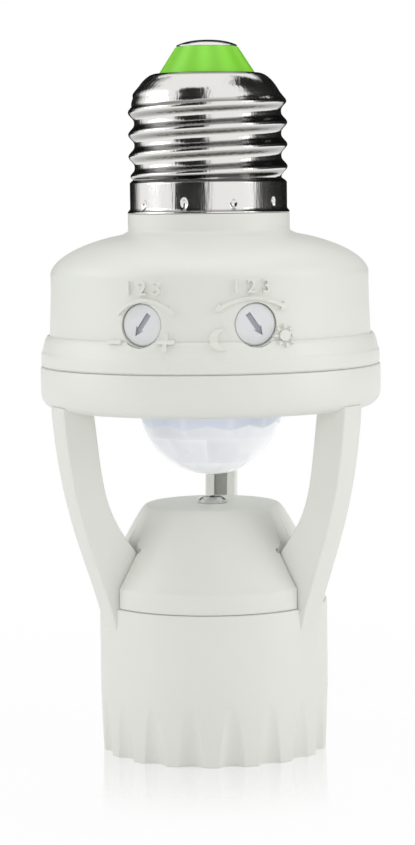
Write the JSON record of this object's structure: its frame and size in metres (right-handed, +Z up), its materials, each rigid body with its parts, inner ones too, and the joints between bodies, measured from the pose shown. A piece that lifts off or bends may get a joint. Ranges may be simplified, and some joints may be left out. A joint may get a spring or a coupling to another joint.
{
  "type": "motion sensor lamp holder",
  "caption": "Screw-in lamp holder with a domed motion sensor housing, two turned settings, a round lens and channelled arms down to a lamp socket.",
  "frame": {"origin": "centre of the socket's bottom rim, on the plane that the part stands on", "axes": "+Z up along the common axis, from the socket's rim to the screw cap's contact; +Y towards the rear arm; the two knobs face -Y"},
  "size_m": [0.0564, 0.0564, 0.1177],
  "materials": {
    "cap_metal": "bright nickel plate on rolled sheet",
    "insulator_green": "smooth, slightly glossy",
    "contact_dark": "dark tarnished metal",
    "housing_white": "moulded, fine satin",
    "knob_white": "moulded, satin",
    "lens_white": "smooth translucent",
    "liner_white": "moulded, heat resistant",
    "spring_brass": "bright rolled strip",
    "screw_steel": "zinc plated",
    "board_green": "solder mask",
    "chip_black": "moulded epoxy",
    "trimmer_blue": "moulded",
    "relay_blue": "moulded",
    "film_yellow": "moulded box",
    "sleeve_dark": "shrunk sleeve",
    "can_metal": "drawn can",
    "cell_amber": "cast resin",
    "wire_red": "soft insulation",
    "wire_white": "soft insulation"
  },
  "bodies": {
    "holder": {"cap_shell": "cap_metal", "cap_insulator": "insulator_green", "centre_contact": "contact_dark", "cap_wires": "wire_red", "housing_top": "housing_white", "time_trimmer": "trimmer_blue", "light_trimmer": "trimmer_blue", "circuit_board": "board_green", "control_chip": "chip_black", "relay": "relay_blue", "film_capacitor": "film_yellow", "filter_capacitor": "sleeve_dark", "rectifier_diodes": "chip_black", "motion_sensor": "can_metal", "light_cell": "cell_amber", "sensor_lens": "lens_white", "lens_holder": "liner_white", "arm_frame": "housing_white", "lamp_wires": "wire_white", "socket_insert": "liner_white", "lamp_shell": "spring_brass", "lamp_contact": "spring_brass", "wire_terminals": "spring_brass", "contact_rivets": "screw_steel", "socket_cover": "housing_white", "cover_screw": "screw_steel", "housing_screws": "screw_steel", "board_screws": "screw_steel", "lens_screws": "screw_steel"},
    "time_setting": {"time_knob": "knob_white"},
    "light_setting": {"light_knob": "knob_white"}
  },
  "joints": [
    {"name": "time_turn", "type": "hinge", "parent": "holder", "child": "time_setting", "pos_m": [-0.0089, -0.02449, 0.07205], "axis": [0.342, 0.9397, 0], "range_deg": [0, 290]},
    {"name": "light_turn", "type": "hinge", "parent": "holder", "child": "light_setting", "pos_m": [0.0089, -0.02449, 0.07205], "axis": [0.342, -0.9397, 0], "range_deg": [0, 290]}
  ]
}
